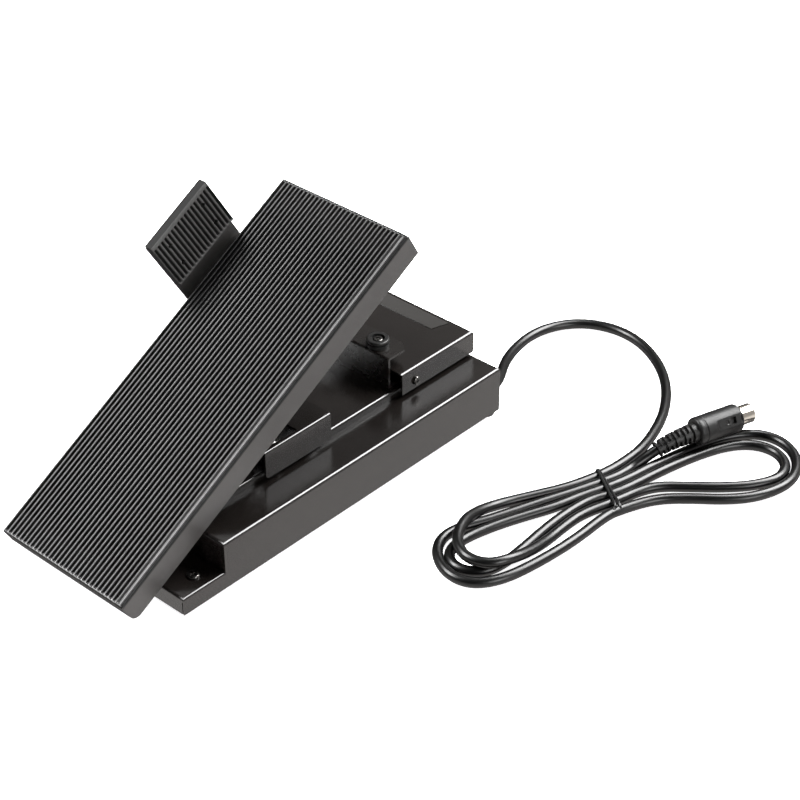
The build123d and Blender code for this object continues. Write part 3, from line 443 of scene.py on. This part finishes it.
def relief_block(columns, rows, top, bottom, place):
    """Closed block with a flat bottom and straight sides, and top(column, row) as its height."""
    corners = [place(x, y, top(x, y)) for y in rows for x in columns]
    wide, tall = len(columns), len(rows)
    faces = []
    for j in range(tall - 1):
        for i in range(wide - 1):
            start = j * wide + i
            faces.append((start, start + 1, start + wide + 1, start + wide))
    rim = list(range(wide))
    rim += [j * wide + wide - 1 for j in range(1, tall)]
    rim += [(tall - 1) * wide + i for i in range(wide - 2, -1, -1)]
    rim += [j * wide for j in range(tall - 2, 0, -1)]
    first = len(corners)
    corners += [place(columns[k % wide], rows[k // wide], bottom) for k in rim]
    for k, upper in enumerate(rim):
        following = (k + 1) % len(rim)
        faces.append((rim[following], upper, first + k, first + following))
    faces.append(tuple(first + k for k in reversed(range(len(rim)))))
    return corners, faces


def skin(rings, place):
    """Closed skin over rings of (distance, outline): place(distance, x, y) sets each corner."""
    corners = []
    faces = []
    count = len(rings[0][1])
    for distance, outline in rings:
        corners += [place(distance, x, y) for x, y in outline]
    for j in range(len(rings) - 1):
        for i in range(count):
            here, beside = j * count + i, j * count + (i + 1) % count
            faces.append((here, beside, beside + count, here + count))
    faces.append(tuple(reversed(range(count))))
    faces.append(tuple((len(rings) - 1) * count + i for i in range(count)))
    return corners, faces


def round_outline(count, radius_at):
    """Closed outline of (x, y) corners whose radius goes by their angle."""
    angles = [2 * math.pi * k / count for k in range(count)]
    return [(radius_at(a) * math.cos(a), radius_at(a) * math.sin(a)) for a in angles]


def tube_curve(name, points, radius, body, slot, materials):
    """Round wire along a smooth curve through the pull of its points, in millimetres."""
    curve = bpy.data.curves.new(name, "CURVE")
    curve.dimensions = "3D"
    curve.resolution_u = 8
    curve.bevel_depth = radius * MM
    curve.bevel_resolution = 5
    curve.use_fill_caps = True
    spline = curve.splines.new("NURBS")
    spline.points.add(len(points) - 1)
    for point, place in zip(spline.points, points):
        point.co = (*(Vector(place) * MM), 1)
    spline.order_u = 3
    spline.use_endpoint_u = True
    made = bpy.data.objects.new(name, curve)
    bpy.context.scene.collection.objects.link(made)
    made.data.materials.append(materials[slot])
    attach(made, body)
    return made


def smooth_step(value, low, high):
    """0 below low, 1 above high and a smooth rise between."""
    share = min(1.0, max(0.0, (value - low) / (high - low)))
    return share * share * (3 - 2 * share)


def band(value, low, high, fade):
    """1 between low and high and 0 outside them, with both fades inside."""
    return smooth_step(value, low, low + fade) - smooth_step(value, high - fade, high)


def round_fall(reach):
    """Share of its whole drop that a quarter-round edge has made: none at 0, all from 1 on."""
    return 1 - math.sqrt(max(0.0, 1 - reach * reach))


def share_at(profile, distance):
    """Share of a groove's depth at a distance from its middle, by its (distance, share) profile."""
    for (near, near_share), (far, far_share) in zip(profile, profile[1:]):
        if distance <= far:
            return near_share + (far_share - near_share) * (distance - near) / (far - near)
    return 0.0


# ------------------------------------------------------------------ treadle mat

HALF_MAT = 54.6
MAT_LENGTH = 288.3
MAT_THICKNESS = 2.2
MAT_SIDE_ROUND = 0.8
MAT_END_ROUND = 2.0
MAT_ROUND_DROP = 0.7
# The right edge falls a little towards the flange
EDGE_SLOPE_FROM = HALF_MAT - 6.4
EDGE_SLOPE = 0.09

GROOVE_PITCH = 3.42
GROOVE_COUNT = 32
FIRST_GROOVE = HALF_MAT - 1.0
GROOVE_DEPTH = 1.7
# The two grooves beside the right edge are shallow
EDGE_GROOVE_DEPTHS = (0.5, 0.9)
# Distance from a groove's middle, and the share of its depth there
GROOVE_SHAPE = (
    (0, 1), (0.7, 0.97), (0.9, 0.7), (1.02, 0.3), (1.12, 0.05), (1.24, 0.006), (1.71, 0),
)
# Where the grooves begin, from the heel end and the toe end, and how far they take to deepen
GROOVE_INSETS = (1.2, 1.4)
GROOVE_RUNOUT = 1.2

# Distances of the mesh's lines from the sides, the heel end and the toe end, and between
MAT_SIDE_LINES = (0, 0.15, 0.4)
MAT_HEEL_LINES = (0, 0.1, 0.3, 0.6, 0.9, 1.2, 1.5, 1.8, 2.1, 2.4)
MAT_TOE_LINES = (2.6, 2.3, 2.0, 1.7, 1.4, 1.0, 0.6, 0.3, 0.1, 0)
MAT_MIDDLE_LINES = range(20, 261, 20)


def mat_height(x, s):
    """Height of the mat's top above its crests, x across and s from the heel end."""
    number = min(GROOVE_COUNT - 1, max(0, round((FIRST_GROOVE - x) / GROOVE_PITCH)))
    depth = EDGE_GROOVE_DEPTHS[number] if number < len(EDGE_GROOVE_DEPTHS) else GROOVE_DEPTH
    distance = abs(x - (FIRST_GROOVE - number * GROOVE_PITCH))
    inside = min(s - GROOVE_INSETS[0], MAT_LENGTH - GROOVE_INSETS[1] - s)
    groove = depth * share_at(GROOVE_SHAPE, distance) * smooth_step(inside, 0, GROOVE_RUNOUT)
    side = max(0.0, abs(x) - (HALF_MAT - MAT_SIDE_ROUND)) / MAT_SIDE_ROUND
    end = max(0.0, MAT_END_ROUND - s, s - (MAT_LENGTH - MAT_END_ROUND)) / MAT_END_ROUND
    slope = EDGE_SLOPE * max(0.0, x - EDGE_SLOPE_FROM)
    return -groove - MAT_ROUND_DROP * round_fall(math.hypot(side, end)) - slope


def make_mat(materials):
    """Ribbed rubber mat on the treadle's top."""
    offsets = [-distance for distance, _ in GROOVE_SHAPE[1:]]
    offsets += [distance for distance, _ in GROOVE_SHAPE[:-1]]
    columns = {side * (HALF_MAT - line) for line in MAT_SIDE_LINES for side in (-1, 1)}
    for number in range(GROOVE_COUNT):
        middle = FIRST_GROOVE - number * GROOVE_PITCH
        columns |= {round(middle + offset, 3) for offset in offsets}
    columns = sorted(x for x in columns if -HALF_MAT <= x <= HALF_MAT)
    rows = [*MAT_HEEL_LINES, *MAT_MIDDLE_LINES, *(MAT_LENGTH - line for line in MAT_TOE_LINES)]
    corners, faces = relief_block(columns, rows, mat_height, -MAT_THICKNESS, on_treadle)
    mat = mesh_piece("mat", corners, faces, "treadle", "ribbed_mat", materials, sharp=60)
    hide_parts("treadle_mat")


# ------------------------------------------------------------------ kick pad and its spring

KICK_LENGTH = 56.1
KICK_HEIGHT = 39.1
KICK_THICKNESS = 6.7
KICK_ROUND = 0.9
KICK_ROUND_DROP = 0.6

KICK_GROOVES = 17
FIRST_KICK_GROOVE = 1.6
KICK_PITCH = (KICK_LENGTH - 2 * FIRST_KICK_GROOVE) / (KICK_GROOVES - 1)
KICK_GROOVE_DEPTH = 1.5
KICK_SHAPE = ((0.0, 1.0), (0.45, 0.97), (0.75, 0.7), (0.95, 0.34), (1.15, 0.1), (1.66, 0.0))
# Where the grooves begin, from the lower and the upper edge, and how far they take to deepen
KICK_INSETS = (1.0, 2.6)
KICK_RUNOUT = 1.4

# The four screw holes: distances from the pad's edges, depth, and radii of bottom and mouth
KICK_HOLE_ALONG = (11.2, KICK_LENGTH - 11.2)
KICK_HOLE_UP = (10.7, KICK_HEIGHT - 10.7)
KICK_HOLE_DEPTH = 3.0
KICK_HOLE_RADII = (1.1, 1.7)

# Distances of the mesh's lines from the ends and from the upper edge, and their heights
KICK_END_LINES = (0, 0.12, 0.4)
KICK_TOP_LINES = (0, 0.12, 0.4, 0.9)
KICK_UP_LINES = (0, 0.12, 0.4, 0.9, 1.4, 1.9, 2.4, 5, 19.5, 33, 35.1, 35.6, 36.0, 36.5, 37.5)
KICK_HOLE_STEP = 0.35
KICK_HOLE_STEPS = range(-6, 7)


def kick_height(s, up):
    """Height of the pad's face above its crests, s along it and up its face."""
    number = min(KICK_GROOVES - 1, max(0, round((s - FIRST_KICK_GROOVE) / KICK_PITCH)))
    distance = abs(s - FIRST_KICK_GROOVE - number * KICK_PITCH)
    inside = min(up - KICK_INSETS[0], KICK_HEIGHT - KICK_INSETS[1] - up)
    groove = KICK_GROOVE_DEPTH * share_at(KICK_SHAPE, distance)
    height = -groove * smooth_step(inside, 0, KICK_RUNOUT)
    for hole_s in KICK_HOLE_ALONG:
        for hole_up in KICK_HOLE_UP:
            away = math.hypot(s - hole_s, up - hole_up)
            height = min(height, -KICK_HOLE_DEPTH * (1 - smooth_step(away, *KICK_HOLE_RADII)))
    edge = min(s, KICK_LENGTH - s, up, KICK_HEIGHT - up)
    return height - KICK_ROUND_DROP * round_fall(max(0.0, KICK_ROUND - edge) / KICK_ROUND)


def make_kick_pad(materials):
    """Ribbed rubber pad on the kick arm."""
    columns = {place for line in KICK_END_LINES for place in (line, KICK_LENGTH - line)}
    for number in range(KICK_GROOVES):
        middle = FIRST_KICK_GROOVE + number * KICK_PITCH
        for distance, _ in KICK_SHAPE:
            columns |= {round(middle - distance, 3), round(middle + distance, 3)}
    columns = sorted(s for s in columns if 0 <= s <= KICK_LENGTH)
    rows = [*KICK_UP_LINES, *(KICK_HEIGHT - line for line in KICK_TOP_LINES)]
    rows += [up + KICK_HOLE_STEP * k for up in KICK_HOLE_UP for k in KICK_HOLE_STEPS]
    rows.sort()
    corners, faces = relief_block(columns, rows, kick_height, -KICK_THICKNESS, on_kick_pad)
    # The pad wears pad_rubber, whose grooves are darkened as painted shade
    pad = mesh_piece(
        "kick_rubber", corners, faces, "kick_arm_body", "black_rubber", materials,
        sharp=60, look="pad_rubber",
    )
    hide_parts("kick_pad")


SPRING_X = -30
SPRING_M = -12
SPRING_R = 3.0
SPRING_WIRE = 0.55
SPRING_SPAN = (222.4, 232.6)
SPRING_TURNS = 7
SPRING_TURN_STEPS = 12
# Legs against the bracket and against the arm, as treadle coordinates
BRACKET_LEG = ((-33.6, 221.6, -5.6), (-33.2, 221.8, -9.0))
ARM_LEG = ((-36, 233.2, -15.4), (-39.5, 233.2, -19.6))


def make_kick_spring(materials):
    """Torsion spring coiled on the hinge pin, with one leg on the bracket and one on the arm."""
    points = [on_treadle(*place) for place in BRACKET_LEG]
    start, stop = SPRING_SPAN
    steps = SPRING_TURNS * SPRING_TURN_STEPS
    for k in range(steps + 1):
        angle = math.pi - 2 * math.pi * k / SPRING_TURN_STEPS
        x = SPRING_X + SPRING_R * math.cos(angle)
        m = SPRING_M + SPRING_R * math.sin(angle)
        points.append(on_treadle(x, start + (stop - start) * k / steps, m))
    points += [on_treadle(*place) for place in ARM_LEG]
    spring = tube_curve("spring_coil", points, SPRING_WIRE, "treadle", "bright_steel", materials)
    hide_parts("kick_spring")


# ------------------------------------------------------------------ cord

CORD_D = 7.0
# Height of the cord's middle where it lies on the floor
Z = FLOOR_Z + CORD_D / 2

# Points in millimetres. LEAD and TAIL repeat the CAD route; the loops lie in its hank.
LEAD = [
    (60, 136, 8), (60, 157, 8), (34, 196, Z), (28, 238, Z), (47, 270, Z), (84, 279, Z),
    (126, 258, Z), (156, 221, Z), (171, 178, Z), (171.6, 150, Z), (169.2, 130.9, Z),
]
LOOP_B = [
    (161.5, 104.9, Z), (149.5, 81.9, Z), (140.2, 62.2, 1.8), (137.8, 46, 4.8), (139.9, 30.5, 8.3),
    (146.5, 15, 8.7), (156.2, 4.9, 8.7), (168, 1.2, 8.7), (180.3, 5.8, 8.7), (186.6, 18.8, 8.5),
    (187.8, 38, 4.6), (186.4, 56, 1.8), (185.2, 72, Z), (185.3, 90, Z), (193.0, 113.5, Z),
]
LOOP_I = [
    (197.6, 134, Z), (204.6, 147, Z), (218.5, 158.8, Z), (234.6, 172.6, Z), (248.4, 187.6, Z),
    (256.6, 204.6, Z), (253.6, 219.2, Z), (241.4, 228.2, Z), (226.8, 227.8, Z),
    (213.8, 217.4, Z), (203.9, 196.4, Z), (195.6, 163.6, Z), (190.2, 131, Z),
    (186.4, 117.9, Z),
]
LOOP_C = [
    (180.1, 104.5, Z), (177.9, 87, Z), (177.9, 64, Z), (179.8, 43.1, Z), (181.0, 24.2, Z),
    (179.0, 7.2, Z), (168.6, -3.0, Z), (155.2, -2.4, Z), (147.0, 7.6, Z), (146.9, 23.4, Z),
    (152.8, 45.6, Z), (160.9, 66.6, Z), (168.3, 83.8, Z), (173.4, 104.2, Z), (180.4, 122.6, Z),
]
LOOP_O = [
    (184.4, 138, Z), (187.8, 160, Z), (194.0, 188.9, Z), (200.0, 210, Z), (208.2, 227.2, Z),
    (219.6, 238.4, Z), (234.5, 241.4, Z), (250.7, 234.2, Z), (262.0, 218.4, Z),
    (263.9, 199.5, Z), (256.4, 178.6, Z), (243.8, 163.6, Z), (227.0, 150.2, Z), (210.5, 134.4, Z),
    (200.4, 110, Z),
]
LOOP_A = [
    (197.7, 97.8, Z), (198.6, 67.2, Z), (196, 36.9, Z), (191.0, 9.4, Z), (181.4, -6.8, Z),
    (168.4, -12.0, Z), (154.3, -8.8, Z), (141.8, 0.8, Z), (135.8, 13.0, Z), (137.2, 27, Z),
    (144.4, 42, Z), (150.4, 58, Z), (158.4, 81, Z), (167.4, 104.2, Z), (174.9, 126.6, Z),
]
TAIL = [(178.2, 139, Z), (178.8, 155.5, Z), (185.3, 168.6, 9.4)]


def make_cord(materials):
    """The whole cord, from the base through the hank to the strain relief."""
    points = LEAD + LOOP_B + LOOP_I + LOOP_C + LOOP_O + LOOP_A + TAIL
    cord = tube_curve("cord", points, CORD_D / 2, "base", "cord_jacket", materials)
    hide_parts("cord_lead", "cord_hank", "cord_tail")
    return cord


# ------------------------------------------------------------------ tie

UP = Vector((0, 0, 1))
TIE_CENTRE = Vector((183.6, 119.2, 0))
TIE_ACROSS = Vector((0.818, -0.575, 0))
TIE_ALONG = Vector((0.575, 0.818, 0))
TIE_HALF = 20.6
TIE_WIRE = 0.8
TIE_TOP = 5.0 + TIE_WIRE
TIE_BOTTOM = FLOOR_Z + TIE_WIRE
# One turn round the hank, as distances across it and heights
TIE_OUTLINE = (
    (-12, TIE_BOTTOM), (0, TIE_BOTTOM), (14, TIE_BOTTOM), (TIE_HALF - 1.5, TIE_BOTTOM + 0.2),
    (TIE_HALF + 0.9, TIE_BOTTOM + 1.6), (TIE_HALF + 0.9, TIE_TOP - 1.8),
    (TIE_HALF - 1.6, TIE_TOP + 0.1), (12, TIE_TOP), (0, TIE_TOP + 0.05), (-12, TIE_TOP),
    (-TIE_HALF + 1.6, TIE_TOP + 0.1), (-TIE_HALF - 0.9, TIE_TOP - 1.8),
    (-TIE_HALF - 0.9, TIE_BOTTOM + 1.6), (-TIE_HALF + 1.5, TIE_BOTTOM + 0.2),
    (-12.5, TIE_BOTTOM),
)
# Each turn's place along the hank, and how much it leans from one side to the other
TIE_TURNS = ((-1.0, 0.0), (0.9, 1.1))

# The twisted ends set out at the hank's near side and take a step at a time
TIE_END_START = TIE_CENTRE + TIE_ACROSS * (TIE_HALF - 1.0) + UP * 5.6
TIE_END_STEP = TIE_ACROSS * 0.35 - TIE_ALONG * 0.5 - UP * 0.22
TIE_END_STEPS = 12
TIE_HALF_TWIST_STEPS = 4
TIE_TWIST_R = 0.7
TIE_END_WIRE = TIE_WIRE * 0.8


def make_tie(materials):
    """Two turns of covered wire round the hank, with their ends twisted at its near side."""
    pieces = []
    for number, (offset, lean) in enumerate(TIE_TURNS):
        points = [
            TIE_CENTRE + TIE_ACROSS * w + TIE_ALONG * (offset + lean * w / TIE_HALF) + UP * z
            for w, z in TIE_OUTLINE
        ]
        name = f"tie_turn_{number + 1}"
        pieces.append(tube_curve(name, points, TIE_WIRE, "base", "wire_tie", materials))
    for number in range(2):
        points = []
        for k in range(TIE_END_STEPS + 1):
            angle = math.pi * (number + k / TIE_HALF_TWIST_STEPS)
            twist = TIE_ACROSS * math.cos(angle) + UP * math.sin(angle)
            points.append(TIE_END_START + TIE_END_STEP * k + twist * TIE_TWIST_R)
        name = f"tie_end_{number + 1}"
        pieces.append(tube_curve(name, points, TIE_END_WIRE, "base", "wire_tie", materials))
    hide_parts("hank_tie")
    return pieces


# ------------------------------------------------------------------ plug body

PLUG_START = Vector((195.8, 195.0, 14.7))
PLUG_AIM = Vector((0.308, 0.951, 0.0)).normalized()
PLUG_SIDE = Vector((PLUG_AIM.y, -PLUG_AIM.x, 0))
PLUG_LENGTH = 34.5
PLUG_R = 9.5
PLUG_CORNERS = 128
PLUG_ROUND = 1.8
# A groove round the cord end: from, to, fade and depth
PLUG_RING = (4.2, 5.8, 0.5)
PLUG_RING_DEPTH = 0.55
# Two flat sides, square to this angle, with fades at their cord end and at the shell end
PLUG_FACE = math.radians(32)
PLUG_FLAT_R = PLUG_R - 0.7
PLUG_FLAT_FADES = ((13.0, 13.8), (1.5, 2.3))
# The window and the small mark on the face: along the plug, half angles, and depth
PLUG_WINDOW = ((24.6, 28.0, 0.4), (0.20, 0.25), 2.2)
PLUG_MARK = ((20.6, 22.4, 0.4), (0.12, 0.17), 0.5)
# The recess that the metal shell comes out of
PLUG_MOUTH_R = 5.9
PLUG_MOUTH_DEPTH = 6
# Places of the mesh's rings, closer where the radius changes
PLUG_STATIONS = (
    0, 0.2, 0.6, 1.2, 1.8, 3, 4.1, 4.45, 4.8, 5.3, 5.55, 5.9, 8, 10.5, 12.9, 13.4, 13.9, 16, 18.5,
    20.5, 20.8, 21.1, 21.9, 22.2, 22.5, 23.6, 24.5, 24.8, 25.1, 26.3, 27.5, 27.8, 28.1, 29.6, 31.4,
    32.2, 32.7, 33.0, 33.3, 33.9, 34.3, PLUG_LENGTH,
)


def on_plug(distance, x, y):
    """Point beside the plug's axis: x towards the viewer's side, y up."""
    return PLUG_START + PLUG_AIM * distance + PLUG_SIDE * x + UP * y


def plug_radius(distance, angle):
    """Body radius: a ring at the cord end, a step to flatter sides, a small window and a mark."""
    end = min(distance, PLUG_LENGTH - distance)
    radius = PLUG_R - PLUG_ROUND * round_fall(max(0.0, 1 - end / PLUG_ROUND))
    radius -= PLUG_RING_DEPTH * band(distance, *PLUG_RING)
    near, far = PLUG_FLAT_FADES
    flat = smooth_step(distance, *near) * smooth_step(PLUG_LENGTH - distance, *far)
    faced = max(abs(math.cos(angle - PLUG_FACE)), 0.001)
    radius += flat * (min(radius, PLUG_FLAT_R / faced) - radius)
    turn = abs((angle - PLUG_FACE + math.pi) % (2 * math.pi) - math.pi)
    for span, half_angles, depth in (PLUG_WINDOW, PLUG_MARK):
        radius -= depth * band(distance, *span) * (1 - smooth_step(turn, *half_angles))
    return radius


def make_plug_body(materials):
    """Moulded grip of the plug, with the recess round its metal shell."""
    rings = [
        (distance, round_outline(PLUG_CORNERS, lambda angle: plug_radius(distance, angle)))
        for distance in PLUG_STATIONS
    ]
    mouth = [(PLUG_MOUTH_R * x / PLUG_R, PLUG_MOUTH_R * y / PLUG_R) for x, y in rings[-1][1]]
    rings += [(PLUG_LENGTH, mouth), (PLUG_LENGTH - PLUG_MOUTH_DEPTH, mouth)]
    corners, faces = skin(rings, on_plug)
    body = mesh_piece("plug_grip", corners, faces, "base", "moulded_plastic", materials, sharp=30)
    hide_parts("plug_body")
    return body


# ------------------------------------------------------------------ strain relief

RELIEF_START = Vector(TAIL[-1])
RELIEF_AIM = (RELIEF_START - Vector((178.3, 150.5, Z))).normalized()
RELIEF_SPAN = (PLUG_START - RELIEF_START).length
RELIEF_CORNERS = 64
RELIEF_R = 5.2
RELIEF_WIDENING = 1.4
RELIEF_RINGS = 9
RELIEF_RING_STEPS = 8
RELIEF_GAP_DEPTH = 1.7
# Where in each ring's length the gap after it opens and closes
RELIEF_GAP_OPENS = (0.46, 0.56)
RELIEF_GAP_CLOSES = (0.90, 1.0)
# The bridges' angle in the first gap, and the sine of their half width, from full to none
RELIEF_BRIDGE_ANGLE = 30
RELIEF_BRIDGE_WIDTH = (0.26, 0.38)


def relief_radius(share, angle):
    """Radius of the strain relief at a share of its length: rings with bridged gaps between."""
    outer = RELIEF_R + RELIEF_WIDENING * share
    phase = share * RELIEF_RINGS
    number = int(min(phase, RELIEF_RINGS - 0.001))
    if number == RELIEF_RINGS - 1:
        return outer
    inside = phase - number
    gap = smooth_step(inside, *RELIEF_GAP_OPENS) - smooth_step(inside, *RELIEF_GAP_CLOSES)
    side = abs(math.sin(angle - math.radians(RELIEF_BRIDGE_ANGLE + 90 * (number % 2))))
    return outer - RELIEF_GAP_DEPTH * gap * smooth_step(side, *RELIEF_BRIDGE_WIDTH)


def on_relief(share, x, y):
    """Point beside a smooth line that leaves along the cord and arrives along the plug."""
    leave = RELIEF_AIM * RELIEF_SPAN
    arrive = PLUG_AIM * RELIEF_SPAN
    rest = 1 - share
    middle = RELIEF_START.lerp(PLUG_START, share * share * (3 - 2 * share))
    middle += leave * (share * rest * rest) - arrive * (share * share * rest)
    slope = (PLUG_START - RELIEF_START) * (6 * share * rest)
    slope += leave * (rest * (1 - 3 * share)) + arrive * (share * (3 * share - 2))
    slope.normalize()
    side = slope.cross(UP).normalized()
    return middle + side * x + side.cross(slope) * y


def make_strain_relief(materials):
    """Tapered sleeve from the cord to the plug: rings joined by bridges that change sides."""
    steps = RELIEF_RINGS * RELIEF_RING_STEPS
    rings = []
    for k in range(steps + 1):
        share = k / steps
        outline = round_outline(RELIEF_CORNERS, lambda angle: relief_radius(share, angle))
        rings.append((share, outline))
    corners, faces = skin(rings, on_relief)
    relief = mesh_piece(
        "cord_relief", corners, faces, "base", "moulded_plastic", materials, sharp=30
    )
    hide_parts("plug_strain_relief")
    return relief


# ------------------------------------------------------------------ build everything

make_camera()
make_stage()
materials = make_materials()
paint_nodes(materials)
cord = make_cord(materials)
tie_pieces = make_tie(materials)
relief = make_strain_relief(materials)
grip = make_plug_body(materials)
make_mat(materials)
make_kick_pad(materials)
make_kick_spring(materials)
